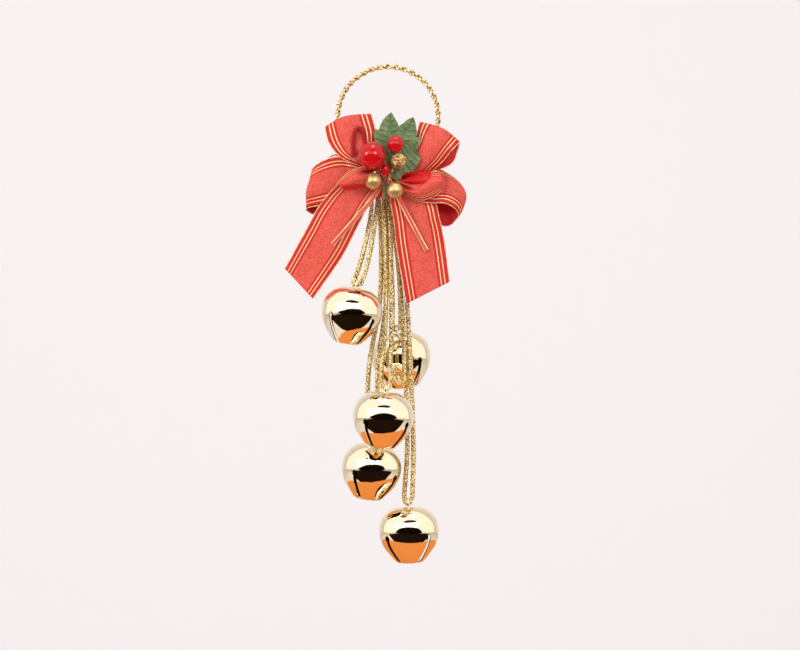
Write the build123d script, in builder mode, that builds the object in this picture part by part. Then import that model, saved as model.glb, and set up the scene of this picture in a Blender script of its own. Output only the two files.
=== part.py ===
from build123d import *
import os
from math import sin, cos, tan, radians, pi, sqrt

os.makedirs("parts", exist_ok=True)

# A hanging cluster of five jingle bells on folded gold cords, under a ribbon bow with a
# berry pick. Millimetres; +X right, -Y front, +Z up; the origin is where the hoop hangs.

# hoop
hoop_radius = 25.1
hoop_cord_radius = 1.35
hoop_core_radius = 0.45
hoop_centre_z = -(hoop_radius - hoop_cord_radius)

# cords and their binding under the bow
cord_radius = 1.25
cord_top_z = -65.0
head_loop_radius = 2.9
head_loop_xs = [-5.2, -2.6, 0.0, 2.6, 5.2]
binding_top_z = -58.5
binding_height = 4.7
binding_width = 13.2
binding_depth = 8.8

# bow
bow_x = -1.0
bow_z = -57.75
gather_radius = 7.5
gather_back_y = -4.8
gather_front_y = -13.5
loop_root_radius = gather_radius + 0.05
ribbon_width = 25.0
ribbon_thickness = 0.4
tail_y = -12.2
tie_width = 2.2
tie_thickness = 0.5
tie_tail_y = -14.5

# berry pick
pick_x = -1.5
pick_y = -17.2
stem_radius = 0.3
tape_radius = 1.35
tape_top_z = -59.0
tape_bottom_z = -67.75
berry_back_y = pick_y - stem_radius - 0.02

# bells
# a bell is drawn with its hinge at the origin and its crown a little below it
bell_height = 28.5
bell_radius = 15.15
bell_foot_radius = 5.0
bell_crown_radius = 4.2
bell_wall = 0.5
crown_z = -1.6
bottom_z = crown_z - bell_height
slot_width = 2.0
slot_height = 13.1
slot_hole_radius = 1.5
shank_wire_radius = 0.6
shank_radius = 2.05
cord_half_gap = 2.1
pellet_radius = 3.5
pellet_gap = 0.05

# each bell hangs at the bottom of its cord's fold: x, y, z, lean about Y, turn about its axis
hang_points = [
    (-15.5, -17.5, -107.6),
    (4.3, 19.0, -130.1),
    (-1.1, -17.5, -159.2),
    (-6.3, 1.8, -185.5),
    (10.0, 1.5, -216.9),
]
bell_leans = [10.0, -9.0, 5.0, 8.0, -2.0]
bell_turns = [4.0, -6.0, 10.0, 12.0, -3.0]

# the points of each cord's two strands, from under the binding down to the fold
left_strands = [
    [(-7.9, -2.7, cord_top_z), (-9.7, -5.8, -74.0), (-13.2, -11.5, -90.5), (-16.8, -14.9, -100.0)],
    [(-0.5, 2.9, cord_top_z), (0.4, 6.3, -78.5), (1.9, 11.5, -100.0), (2.5, 16.5, -120.5)],
    [(-2.4, -2.7, cord_top_z), (-1.5, -5.3, -82.0), (-1.0, -9.3, -106.5), (-1.1, -13.4, -131.5),
     (-3.4, -16.0, -149.5)],
    [(-4.5, 0.1, cord_top_z), (-3.1, 0.4, -88.0), (-3.6, 0.8, -118.0), (-9.6, 1.2, -146.0),
     (-10.3, 1.5, -167.0), (-8.7, 1.7, -177.5)],
    [(1.0, 0.1, cord_top_z), (4.6, 0.3, -91.0), (7.3, 0.7, -121.0), (9.0, 1.0, -157.0),
     (10.0, 1.3, -190.0), (8.6, 1.4, -207.0)],
]
right_strands = [
    [(-5.3, -2.7, cord_top_z), (-7.1, -6.0, -74.5), (-10.0, -11.4, -90.0), (-13.1, -14.8, -99.8)],
    [(2.1, 2.9, cord_top_z), (3.3, 6.4, -79.0), (5.4, 11.7, -100.5), (6.2, 16.6, -121.0)],
    [(0.2, -2.7, cord_top_z), (1.3, -5.4, -82.5), (1.6, -9.4, -107.0), (1.8, -13.5, -132.0),
     (1.1, -16.1, -150.0)],
    [(-1.9, 0.1, cord_top_z), (-0.6, 0.4, -88.5), (-0.6, 0.8, -117.0), (-5.3, 1.2, -145.5),
     (-5.6, 1.5, -166.5), (-4.4, 1.7, -177.0)],
    [(3.6, 0.1, cord_top_z), (7.3, 0.3, -91.5), (9.9, 0.7, -121.5), (11.7, 1.0, -157.5),
     (12.8, 1.3, -190.5), (12.3, 1.4, -207.0)],
]

# bow loops: name, direction in degrees, reach, mid y, half depth, half spread in degrees
bow_loops = [
    ("bow_loop_upper_left", 119.0, 36.5, -6.0, 3.9, 18.0),
    ("bow_loop_upper_right", 46.5, 38.5, -6.0, 3.9, 15.0),
    ("bow_loop_left", 182.0, 36.5, -6.0, 3.9, 18.0),
    ("bow_loop_right", -11.0, 39.0, -6.0, 3.9, 18.0),
    ("bow_loop_front_left", 181.0, 22.0, -12.0, 1.6, 17.0),
    ("bow_loop_front_right", -1.0, 29.5, -12.0, 1.6, 14.5),
]

# berries: name, x, z, radius
berries = [
    ("berry_red_large", -7.75, -44.25, 6.75),
    ("berry_red_small", 3.75, -38.5, 4.15),
    ("berry_glitter", 5.25, -46.9, 4.0),
    ("berry_gold_left", -7.25, -56.75, 4.15),
    ("berry_gold_right", 3.5, -61.25, 4.1),
]
bud_x = -1.25
bud_z = -51.25
bud_radius = 2.25
bud_length = 7.0


def corner_radii(points):
    """Each corner's arc takes 0.45 of its shorter run."""
    radii = []
    for before, here, after in zip(points, points[1:], points[2:]):
        run_in = Vector(here) - Vector(before)
        run_out = Vector(after) - Vector(here)
        half_turn = radians(run_in.get_angle(run_out)) / 2
        radii.append(0.45 * min(run_in.length, run_out.length) / tan(half_turn))
    return radii


def from_bow(angle, distance=60.0):
    """The x and z of a point at this angle and distance from the bow's middle."""
    return (bow_x + distance * cos(radians(angle)), bow_z + distance * sin(radians(angle)))


def bell_profile(inset):
    """Half of the bell's outline about Z, or of its hollow when inset is the wall."""
    wide = 1 - inset / bell_radius
    tall = bell_height - 2 * inset
    low_z = bottom_z + inset
    with BuildSketch(Plane.XZ) as profile:
        with BuildLine():
            Line((0, low_z), (wide * bell_foot_radius, low_z))
            Spline(
                (wide * bell_foot_radius, low_z),
                (wide * 10.0, low_z + 0.16 * tall),
                (wide * 14.0, low_z + 0.37 * tall),
                (wide * bell_radius, low_z + 0.58 * tall),
                (wide * 12.6, low_z + 0.85 * tall),
                (wide * bell_crown_radius, low_z + tall),
                tangents=[(1.0, 0.55), (-1.0, 0.12)],
            )
            Line((wide * bell_crown_radius, low_z + tall), (0, low_z + tall))
            Line((0, low_z + tall), (0, low_z))
        make_face()
    return profile.sketch


# --- hoop -------------------------------------------------------------------------------
hoop_axis = Axis((0, 0, hoop_centre_z), (0, 1, 0))

with BuildPart() as hoop_foil_cord:
    with BuildSketch(Plane.XY.offset(hoop_centre_z)):
        with Locations((hoop_radius, 0)):
            Circle(hoop_cord_radius)
            Circle(hoop_core_radius + 0.03, mode=Mode.SUBTRACT)
    revolve(axis=hoop_axis)
hoop_foil_cord.part.label = "hoop_foil_cord"
export_step(hoop_foil_cord.part, "parts/hoop_foil_cord.step")

with BuildPart() as hoop_wire_core:
    with BuildSketch(Plane.XY.offset(hoop_centre_z)):
        with Locations((hoop_radius, 0)):
            Circle(hoop_core_radius)
    revolve(axis=hoop_axis)
hoop_wire_core.part.label = "hoop_wire_core"
export_step(hoop_wire_core.part, "parts/hoop_wire_core.step")

# --- cord heads over the hoop, and the thread that binds them -----------------------------
with BuildPart() as cord_head_loops:
    for x in head_loop_xs:
        hoop_z = hoop_centre_z - sqrt(hoop_radius**2 - x**2)
        with BuildLine() as head_path:
            Line((x, -head_loop_radius, binding_top_z), (x, -head_loop_radius, hoop_z))
            ThreePointArc(
                (x, -head_loop_radius, hoop_z),
                (x, 0, hoop_z + head_loop_radius),
                (x, head_loop_radius, hoop_z),
            )
            Line((x, head_loop_radius, hoop_z), (x, head_loop_radius, binding_top_z))
        with BuildSketch(Plane(origin=(x, -head_loop_radius, binding_top_z), z_dir=(0, 0, 1))):
            Circle(cord_radius)
        sweep(path=head_path.line)
cord_head_loops.part.label = "cord_head_loops"
export_step(cord_head_loops.part, "parts/cord_head_loops.step")

with BuildPart() as cord_binding:
    with BuildSketch(Plane.XY.offset(binding_top_z)):
        RectangleRounded(binding_width, binding_depth, binding_depth / 2 - 0.5)
    extrude(amount=-binding_height)
    fillet(cord_binding.faces().sort_by(Axis.Z)[0].edges(), 0.6)
cord_binding.part.label = "cord_binding"
export_step(cord_binding.part, "parts/cord_binding.step")

# --- bow ----------------------------------------------------------------------------------
with BuildPart() as bow_center_gather:
    with BuildSketch(Plane.XZ.offset(-gather_back_y)):
        with Locations((bow_x, bow_z)):
            Circle(gather_radius)
    extrude(amount=gather_back_y - gather_front_y)
    fillet(bow_center_gather.faces().sort_by(Axis.Y)[0].edges(), 2.0)
bow_center_gather.part.label = "bow_center_gather"
export_step(bow_center_gather.part, "parts/bow_center_gather.step")

for name, angle, reach, mid_y, half_depth, spread in bow_loops:
    out = Vector(cos(radians(angle)), 0, sin(radians(angle)))
    across = Vector(-sin(radians(angle)), 0, cos(radians(angle)))
    loop_plane = Plane(origin=(bow_x, mid_y, bow_z), x_dir=out, z_dir=across)
    bend_x = reach - half_depth
    with BuildPart() as bow_loop:
        # the teardrop of the folded ribbon, seen edge on
        with BuildSketch(loop_plane):
            with BuildLine():
                Line((4, 0.6), (bend_x, half_depth))
                ThreePointArc((bend_x, half_depth), (reach, 0), (bend_x, -half_depth))
                Line((bend_x, -half_depth), (4, -0.6))
                Line((4, -0.6), (4, 0.6))
            make_face()
            offset(amount=-ribbon_thickness, kind=Kind.INTERSECTION, mode=Mode.SUBTRACT)
        extrude(amount=ribbon_width / 2, both=True)
        # the ribbon is gathered at the bow's middle, so the loop fans out from there
        with BuildSketch(Plane.XZ):
            with BuildLine():
                Polyline((bow_x, bow_z), from_bow(angle - spread), from_bow(angle + spread), close=True)
            make_face()
            with Locations((bow_x, bow_z)):
                Circle(loop_root_radius, mode=Mode.SUBTRACT)
        extrude(amount=30, mode=Mode.INTERSECT)
    bow_loop.part.label = name
    export_step(bow_loop.part, f"parts/{name}.step")

tail_outlines = {
    "bow_tail_left": [(-8.2, -62.1), (-39.0, -81.2), (-51.0, -100.2), (-37.5, -114.2),
                      (-19.0, -84.0), (-6.8, -64.4)],
    "bow_tail_right": [(0.9, -65.9), (5.4, -90.2), (8.5, -116.7), (30.0, -106.5),
                       (27.5, -84.0), (24.0, -68.5), (6.6, -62.0)],
}
for name, outline in tail_outlines.items():
    with BuildPart() as bow_tail:
        with BuildSketch(Plane.XZ.offset(-tail_y - ribbon_thickness)):
            with BuildLine():
                Polyline(*outline, close=True)
            make_face()
            with Locations((bow_x, bow_z)):
                Circle(loop_root_radius, mode=Mode.SUBTRACT)
        extrude(amount=ribbon_thickness)
    bow_tail.part.label = name
    export_step(bow_tail.part, f"parts/{name}.step")

# --- narrow tie ribbon ----------------------------------------------------------------------
tie_band_z = -54.1
tie_band_x = -0.8
tie_back_y = 4.5
tie_front_y = -13.7
tie_depth = tie_back_y - tie_front_y

with BuildPart() as tie_ribbon_band:
    with BuildSketch(Plane.XY.offset(tie_band_z - tie_width / 2)):
        with Locations((tie_band_x, (tie_back_y + tie_front_y) / 2)):
            RectangleRounded(16.0, tie_depth + 2 * tie_thickness, 2.5)
            RectangleRounded(16.0 - 2 * tie_thickness, tie_depth, 2.0, mode=Mode.SUBTRACT)
    extrude(amount=tie_width)
tie_ribbon_band.part.label = "tie_ribbon_band"
export_step(tie_ribbon_band.part, "parts/tie_ribbon_band.step")

with BuildPart() as tie_ribbon_knot:
    with BuildSketch(Plane.XZ.offset(-tie_front_y + tie_thickness + 0.02)):
        with Locations((bow_x, tie_band_z)):
            RectangleRounded(4.6, 3.6, 1.2)
    extrude(amount=2.0)
    fillet(tie_ribbon_knot.faces().sort_by(Axis.Y)[0].edges(), 0.8)
tie_ribbon_knot.part.label = "tie_ribbon_knot"
export_step(tie_ribbon_knot.part, "parts/tie_ribbon_knot.step")

tie_tails = {
    "tie_ribbon_tail_left": [(-2.4, -56.0), (-6.0, -63.0), (-15.0, -74.5), (-27.5, -88.0)],
    "tie_ribbon_tail_right": [(0.9, -56.0), (5.0, -64.0), (12.0, -77.0), (19.0, -91.0)],
}
for name, route in tie_tails.items():
    with BuildPart() as tie_tail:
        with BuildSketch(Plane.XZ.offset(-tie_tail_y)):
            with BuildLine():
                FilletPolyline(*route, radius=[6.0, 20.0])
            trace(line_width=tie_width)
        extrude(amount=ribbon_thickness)
    tie_tail.part.label = name
    export_step(tie_tail.part, f"parts/{name}.step")

# --- wire and chenille trim at the bow's left -------------------------------------------------
trims = {
    "binding_wire": (0.3, [(-9.0, -8.0, -53.6), (-18.0, -8.0, -47.4), (-26.5, -8.5, -42.3),
                           (-31.0, -9.0, -46.4), (-27.3, -8.5, -49.6)]),
    "chenille_loop": (1.0, [(-16.6, -11.3, -44.0), (-16.8, -11.5, -34.5), (-13.9, -11.6, -29.8),
                            (-11.1, -11.5, -34.6), (-10.6, -11.4, -43.5)]),
}
for name, (radius, route) in trims.items():
    with BuildPart() as trim:
        with BuildLine() as trim_path:
            FilletPolyline(*route, radius=corner_radii(route))
        with BuildSketch(Plane(origin=trim_path.line @ 0, z_dir=trim_path.line % 0)):
            Circle(radius)
        sweep(path=trim_path.line)
    trim.part.label = name
    export_step(trim.part, f"parts/{name}.step")

# --- berry pick --------------------------------------------------------------------------------
leaf_outlines = {
    "leaf_top": (-14.7, [(-1.5, -51.6), (-5.0, -42.0), (-6.5, -30.8), (-2.5, -30.0), (1.0, -22.3),
                         (4.0, -29.0), (4.6, -38.0), (1.0, -51.6)]),
    "leaf_right": (-15.4, [(-0.8, -51.6), (1.5, -39.0), (5.6, -29.3), (12.5, -24.8),
                           (12.8, -32.0), (9.5, -41.0), (1.6, -51.6)]),
    "leaf_lower_right": (-16.1, [(0.0, -51.6), (3.5, -43.0), (10.0, -37.0), (16.5, -34.3),
                                 (14.8, -40.5), (16.0, -45.3), (10.5, -47.5), (2.2, -51.6)]),
}
for name, (leaf_y, outline) in leaf_outlines.items():
    with BuildPart() as leaf:
        with BuildSketch(Plane.XZ.offset(-leaf_y)):
            with BuildLine():
                Polyline(*outline, close=True)
            make_face()
        extrude(amount=ribbon_thickness)
    leaf.part.label = name
    export_step(leaf.part, f"parts/{name}.step")

for name, x, z, radius in berries:
    with BuildPart() as berry:
        with Locations((x, berry_back_y - radius, z)):
            Sphere(radius)
    berry.part.label = name
    export_step(berry.part, f"parts/{name}.step")

with BuildPart() as berry_bud_red:
    bud_y = berry_back_y - bud_radius
    with BuildSketch(Plane.XZ.offset(-bud_y)):
        with BuildLine():
            Spline(
                (bud_x, bud_z + bud_length / 2),
                (bud_x + bud_radius, bud_z + 0.6),
                (bud_x, bud_z - bud_length / 2),
                tangents=[(1, 0.1), (-0.35, -1)],
            )
            Line((bud_x, bud_z - bud_length / 2), (bud_x, bud_z + bud_length / 2))
        make_face()
    revolve(axis=Axis((bud_x, bud_y, bud_z), (0, 0, 1)))
berry_bud_red.part.label = "berry_bud_red"
export_step(berry_bud_red.part, "parts/berry_bud_red.step")

# each stem runs up or sideways out of the taped stem and touches the back of its berry
stems = {
    "stem_red_large": ((-2.48, tape_top_z), (-7.2, -43.5)),
    "stem_bud": ((-1.82, tape_top_z), (-1.3, -50.5)),
    "stem_red_small": ((-1.17, tape_top_z), (3.6, -38.0)),
    "stem_glitter": ((-0.52, tape_top_z), (5.0, -46.3)),
    "stem_gold_left": ((-2.95, -60.2), (-7.0, -56.8)),
    "stem_gold_right": ((-0.05, -60.4), (3.3, -61.2)),
}
for name, ((x0, z0), (x1, z1)) in stems.items():
    start = Vector(x0, pick_y, z0)
    end = Vector(x1, pick_y, z1)
    with BuildPart() as stem:
        with BuildSketch(Plane(origin=start, z_dir=end - start)):
            Circle(stem_radius)
        extrude(amount=(end - start).length)
    stem.part.label = name
    export_step(stem.part, f"parts/{name}.step")

with BuildPart() as stem_tape:
    with BuildSketch(Plane.XY.offset(tape_bottom_z)):
        with Locations((pick_x, pick_y)):
            Circle(tape_radius)
    extrude(amount=tape_top_z - tape_bottom_z - 0.02)
    fillet(stem_tape.edges().filter_by(GeomType.CIRCLE).sort_by(Axis.Z)[0], 0.4)
stem_tape.part.label = "stem_tape"
export_step(stem_tape.part, "parts/stem_tape.step")

# --- cords ---------------------------------------------------------------------------------------
cord_data = zip(hang_points, bell_leans, left_strands, right_strands)
for number, (hang, lean, left, right) in enumerate(cord_data, 1):
    hang_x, hang_y, hang_z = hang
    # the strands stand evenly each side of the leaning shank's top
    fold_x = hang_x + shank_radius * sin(radians(lean))
    fold = [(fold_x - cord_half_gap, hang_y, hang_z), (fold_x + cord_half_gap, hang_y, hang_z)]
    route = left + fold + right[::-1]
    radii = corner_radii(route)
    with BuildPart() as cord:
        with BuildLine() as cord_path:
            FilletPolyline(*route, radius=radii)
        with BuildSketch(Plane(origin=cord_path.line @ 0, z_dir=cord_path.line % 0)):
            Circle(cord_radius)
        sweep(path=cord_path.line)
    length = cord_path.wire().length
    print(f"cord_{number} length {length:.1f} radii", [round(r, 1) for r in radii],
          f"volume ratio {cord.part.volume / (pi * cord_radius**2 * length):.4f}")
    cord.part.label = f"cord_{number}"
    export_step(cord.part, f"parts/cord_{number}.step")

# --- bells -----------------------------------------------------------------------------------------
with BuildPart() as bell_shell:
    revolve(bell_profile(0), axis=Axis.Z)
    revolve(bell_profile(bell_wall), axis=Axis.Z, mode=Mode.SUBTRACT)
    for turn in (45, 135):
        with Locations(Location((0, 0, bottom_z + slot_height / 2 - 1), (0, 0, turn))):
            Box(40, slot_width, slot_height + 2, mode=Mode.SUBTRACT)
        with Locations(Location((0, 0, bottom_z + slot_height), (0, 90, turn))):
            Cylinder(slot_hole_radius, 40, mode=Mode.SUBTRACT)

with BuildPart() as bell_shank:
    with BuildLine() as shank_path:
        Line((0, -shank_radius, crown_z + 0.02), (0, -shank_radius, 0))
        ThreePointArc((0, -shank_radius, 0), (0, 0, shank_radius), (0, shank_radius, 0))
        Line((0, shank_radius, 0), (0, shank_radius, crown_z + 0.02))
    with BuildSketch(Plane(origin=(0, -shank_radius, crown_z + 0.02), z_dir=(0, 0, 1))):
        Circle(shank_wire_radius)
    sweep(path=shank_path.line)

with BuildPart() as bell_pellet:
    with Locations((0, 0, bottom_z + bell_wall + pellet_gap + pellet_radius)):
        Sphere(pellet_radius)

for number, (hang, lean, turn) in enumerate(zip(hang_points, bell_leans, bell_turns), 1):
    for kind, master in (("shell", bell_shell), ("shank", bell_shank), ("pellet", bell_pellet)):
        # the wire shank keeps to the cord's fold while the shell is turned about its own axis
        about_axis = turn if kind == "shell" else 0
        place = Location(hang, (0, lean, 0)) * Location((0, 0, 0), (0, 0, about_axis))
        with BuildPart() as piece:
            with Locations(place):
                add(master.part)
        piece.part.label = f"bell_{kind}_{number}"
        export_step(piece.part, f"parts/bell_{kind}_{number}.step")
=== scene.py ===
import random
from math import asin, atan2, ceil, cos, hypot, pi, radians, sin, sqrt

import bmesh
import bpy
from mathutils import Matrix, Vector, noise


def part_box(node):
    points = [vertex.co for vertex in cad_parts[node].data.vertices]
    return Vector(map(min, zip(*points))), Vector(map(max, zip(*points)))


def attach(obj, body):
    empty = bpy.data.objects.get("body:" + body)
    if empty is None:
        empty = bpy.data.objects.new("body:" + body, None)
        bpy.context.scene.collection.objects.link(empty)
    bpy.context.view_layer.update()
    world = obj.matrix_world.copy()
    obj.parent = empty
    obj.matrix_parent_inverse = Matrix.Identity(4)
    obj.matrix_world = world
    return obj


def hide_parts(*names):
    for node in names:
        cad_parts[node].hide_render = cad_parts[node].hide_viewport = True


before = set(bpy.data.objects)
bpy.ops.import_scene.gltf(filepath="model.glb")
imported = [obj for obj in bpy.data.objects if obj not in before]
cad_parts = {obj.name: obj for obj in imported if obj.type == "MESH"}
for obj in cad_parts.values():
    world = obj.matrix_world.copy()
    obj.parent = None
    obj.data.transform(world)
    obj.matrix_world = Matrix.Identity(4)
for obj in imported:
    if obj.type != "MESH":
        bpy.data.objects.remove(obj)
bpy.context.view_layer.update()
bpy.ops.object.select_all(action="DESELECT")

# --- camera and studio ---
# The ornament hangs in a white studio. A long lens looks at it level from the front.
view_middle = Vector((0.006, 0, -0.12775))
view_width = 0.4
view_distance = 1.6
bpy.ops.object.camera_add(
    location=view_middle + Vector((0, -view_distance, 0)), rotation=(radians(90), 0, 0)
)
camera = bpy.context.object
camera.name = "camera"
camera.data.lens = camera.data.sensor_width * view_distance / view_width
bpy.context.scene.camera = camera

world = bpy.data.worlds.new("studio")
bpy.context.scene.world = world
world.use_nodes = True
room = world.node_tree.nodes["Background"]
room.inputs["Color"].default_value = (1.0, 0.975, 0.965, 1)
ray = world.node_tree.nodes.new("ShaderNodeLightPath")
bright = world.node_tree.nodes.new("ShaderNodeMapRange")
bright.inputs["To Min"].default_value = 0.58
bright.inputs["To Max"].default_value = 1.2
world.node_tree.links.new(ray.outputs["Is Glossy Ray"], bright.inputs["Value"])
world.node_tree.links.new(bright.outputs["Result"], room.inputs["Strength"])
bpy.context.scene.view_settings.view_transform = "Standard"


def flat_finish(name, colour, roughness=0.9, glow=0.0):
    """A plain finish for the studio's own surfaces."""
    finish = bpy.data.materials.new(name)
    finish.use_nodes = True
    shader = finish.node_tree.nodes["Principled BSDF"].inputs
    shader["Base Color"].default_value = (*colour, 1)
    shader["Roughness"].default_value = roughness
    shader["Specular IOR Level"].default_value = 0.0
    shader["Emission Color"].default_value = (*colour, 1)
    shader["Emission Strength"].default_value = glow
    return finish


def card(name, size, place, turn, finish, seen, rounded=False):
    """A flat studio surface; one that isn't seen shows in reflections only."""
    if rounded:
        bpy.ops.mesh.primitive_circle_add(vertices=96, radius=0.5, fill_type="NGON", location=place)
    else:
        bpy.ops.mesh.primitive_plane_add(size=1, location=place)
    piece = bpy.context.object
    piece.rotation_euler = [radians(angle) for angle in turn]
    piece.name = name
    piece.scale = (size[0], size[1], 1)
    piece.data.materials.append(finish)
    if not seen:
        piece.visible_camera = False
        piece.visible_diffuse = False
        piece.visible_shadow = False
        piece.visible_transmission = False


floor_z = -0.46
card("floor", (6, 6), (0, 0, floor_z), (0, 0, 0), flat_finish("floor_paint", (0.86, 0.83, 0.82)), True)
backdrop_paint = flat_finish("backdrop_paint", (0.93, 0.90, 0.905), glow=0.17)
card("backdrop", (8, 6), (0, 1.6, 1.0), (90, 0, 0), backdrop_paint, True)
# reflections only: a round wooden table below, the dark floor and wall beyond it, and the bright
# front of the room above with a dark beam across it
card("table_reflection", (0.46, 0.48), (0.01, 0.14, -0.325), (0, 0, 0),
     flat_finish("table_wood", (0.66, 0.235, 0.065), 0.6, 0.30), False, rounded=True)
card("dark_floor_reflection", (2.8, 1.6), (0.0, -0.92, -0.45), (0, 0, 0),
     flat_finish("dark_floor", (0.012, 0.006, 0.004)), False)
card("dark_wall_reflection", (4.4, 1.2), (0.05, -1.72, -0.42), (90, 0, 0),
     flat_finish("dark_wall", (0.006, 0.004, 0.003)), False, rounded=True)
card("bright_wall_reflection", (2.6, 1.3), (0.0, -1.9, 0.95), (68, 0, 0),
     flat_finish("bright_wall", (1.0, 0.99, 0.985), 0.9, 2.1), False)
card("beam_reflection", (1.15, 0.40), (0.06, -0.9, 0.78), (60, 0, 6),
     flat_finish("dark_beam", (0.02, 0.018, 0.015)), False, rounded=True)


def softbox(name, place, size, power):
    """A square area light that points at the ornament's middle."""
    bpy.ops.object.light_add(type="AREA", location=place)
    lamp = bpy.context.object
    lamp.name = name
    lamp.data.size = size
    lamp.data.energy = power
    lamp.rotation_euler = (view_middle - Vector(place)).to_track_quat("-Z", "Y").to_euler()


softbox("softbox_left", (-1.05, -0.85, 0.25), 0.5, 7.6)
softbox("softbox_right", (0.55, -1.1, 0.35), 0.36, 5.0)
softbox("softbox_top", (0.1, -0.2, 1.1), 0.5, 4.5)

# --- folded cords ---
# Each bell hangs on one gold metallic cord, plaited round from six foil-wrapped yarns.
# The cord runs down from the thread binding, through the bell's wire loop and back up.
cord_radius = 0.00145
cord_top_z = -62.4
hang_points = [
    (-15.5, -17.5, -107.6),
    (4.3, 19.0, -130.1),
    (-1.1, -17.5, -159.2),
    (-6.3, 1.8, -185.5),
    (10.0, 1.5, -216.9),
]
bell_leans = [10.0, -9.0, 5.0, 8.0, -2.0]
shank_radius = 2.05
left_strands = [
    [(-7.9, -2.7, -65.0), (-8.4, -5.8, -74.0), (-11.8, -11.5, -90.5), (-14.9, -15.4, -101.5),
     (-16.9, -17.3, -106.2)],
    [(-0.5, 2.9, -65.0), (0.4, 6.3, -78.5), (1.9, 11.5, -100.0), (2.5, 16.5, -120.5)],
    [(-2.4, -2.7, -65.0), (-1.5, -5.3, -82.0), (-1.0, -9.3, -106.5), (-1.1, -13.4, -131.5),
     (-3.4, -16.0, -149.5)],
    [(-4.5, 0.1, -65.0), (-3.1, 0.4, -88.0), (-3.6, 0.8, -118.0), (-9.6, 1.2, -146.0),
     (-10.3, 1.5, -167.0), (-8.7, 1.7, -177.5)],
    [(1.0, 0.1, -65.0), (4.6, 0.3, -91.0), (7.3, 0.7, -121.0), (9.0, 1.0, -157.0),
     (10.0, 1.3, -190.0), (8.6, 1.4, -207.0)],
]
right_strands = [
    [(-5.3, -2.7, -65.0), (-6.2, -6.0, -74.5), (-8.6, -11.4, -90.0), (-11.1, -15.2, -101.5),
     (-13.2, -17.3, -106.2)],
    [(2.1, 2.9, -65.0), (3.3, 6.4, -79.0), (5.4, 11.7, -100.5), (6.2, 16.6, -121.0)],
    [(0.2, -2.7, -65.0), (1.3, -5.4, -82.5), (1.6, -9.4, -107.0), (1.8, -13.5, -132.0),
     (1.1, -16.1, -150.0)],
    [(-1.9, 0.1, -65.0), (-0.6, 0.4, -88.5), (-0.6, 0.8, -117.0), (-5.3, 1.2, -145.5),
     (-5.6, 1.5, -166.5), (-4.4, 1.7, -177.0)],
    [(3.6, 0.1, -65.0), (7.3, 0.3, -91.5), (9.9, 0.7, -121.5), (11.7, 1.0, -157.5),
     (12.8, 1.3, -190.5), (12.3, 1.4, -207.0)],
]


class Paint:
    """A shader value. Arithmetic on it adds Math nodes to its material."""

    def __init__(self, tree, socket=None):
        self.tree = tree
        self.socket = socket

    def node(self, kind, settings=None, values=None, out=0):
        made = self.tree.nodes.new("ShaderNode" + kind)
        for key, value in (settings or {}).items():
            if key == "stops":
                ramp = made.color_ramp
                while len(ramp.elements) < len(value):
                    ramp.elements.new(0.5)
                for element, (position, colour) in zip(ramp.elements, value):
                    element.position = position
                    element.color = (*colour, 1)
            else:
                setattr(made, key, value)
        for key, value in (values or {}).items():
            if isinstance(value, Paint):
                self.tree.links.new(value.socket, made.inputs[key])
            else:
                made.inputs[key].default_value = value
        return Paint(self.tree, made.outputs[out])

    def math(self, operation, *others):
        return self.node("Math", {"operation": operation}, dict(enumerate((self, *others))))

    def __add__(self, other):
        return self.math("ADD", other)

    def __sub__(self, other):
        return self.math("SUBTRACT", other)

    def __rsub__(self, other):
        return self.node("Math", {"operation": "SUBTRACT"}, {0: other, 1: self})

    def __mul__(self, other):
        return self.math("MULTIPLY", other)

    __radd__ = __add__

    def parts(self):
        """The X, Y and Z of a vector."""
        split = self.node("SeparateXYZ", values={0: self}).socket.node
        return [Paint(self.tree, socket) for socket in split.outputs]

    def step(self, low, high):
        """0 below low, 1 above high, smooth between."""
        return self.node("MapRange", {"interpolation_type": "SMOOTHSTEP"}, {0: self, 1: low, 2: high})

    def tint(self, dark, light):
        """The colour from dark to light as this value goes from 0 to 1."""
        values = {0: self}
        for key, colour in ((6, dark), (7, light)):
            values[key] = colour if isinstance(colour, Paint) else (*colour, 1)
        return self.node("Mix", {"data_type": "RGBA"}, values, out=2)

    def wave(self, pitch):
        """Up and down between 0 and 1, once in each pitch."""
        return ((self * (2 * pi / pitch)).math("SINE") + 1.0) * 0.5

    def noise(self, scale, detail=3.0):
        """Noise over this vector, scale features in each unit."""
        return self.node("TexNoise", None, {"Vector": self, "Scale": scale, "Detail": detail,
                                            "Roughness": 0.6})

    def relief(self, strength, depth):
        """A normal from this value as a height, depth in metres."""
        return self.node("Bump", None, {"Height": self, "Strength": strength, "Distance": depth})

    def feed(self, shader, name):
        self.tree.links.new(self.socket, shader[name])


def new_finish(name, **fixed):
    """A material, a Paint to build with, and its shader's sockets with the fixed values set."""
    finish = bpy.data.materials.new(name)
    finish.use_nodes = True
    shader = finish.node_tree.nodes["Principled BSDF"].inputs
    for key, value in fixed.items():
        shader[key.replace("_", " ")].default_value = value
    return finish, Paint(finish.node_tree), shader


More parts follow.
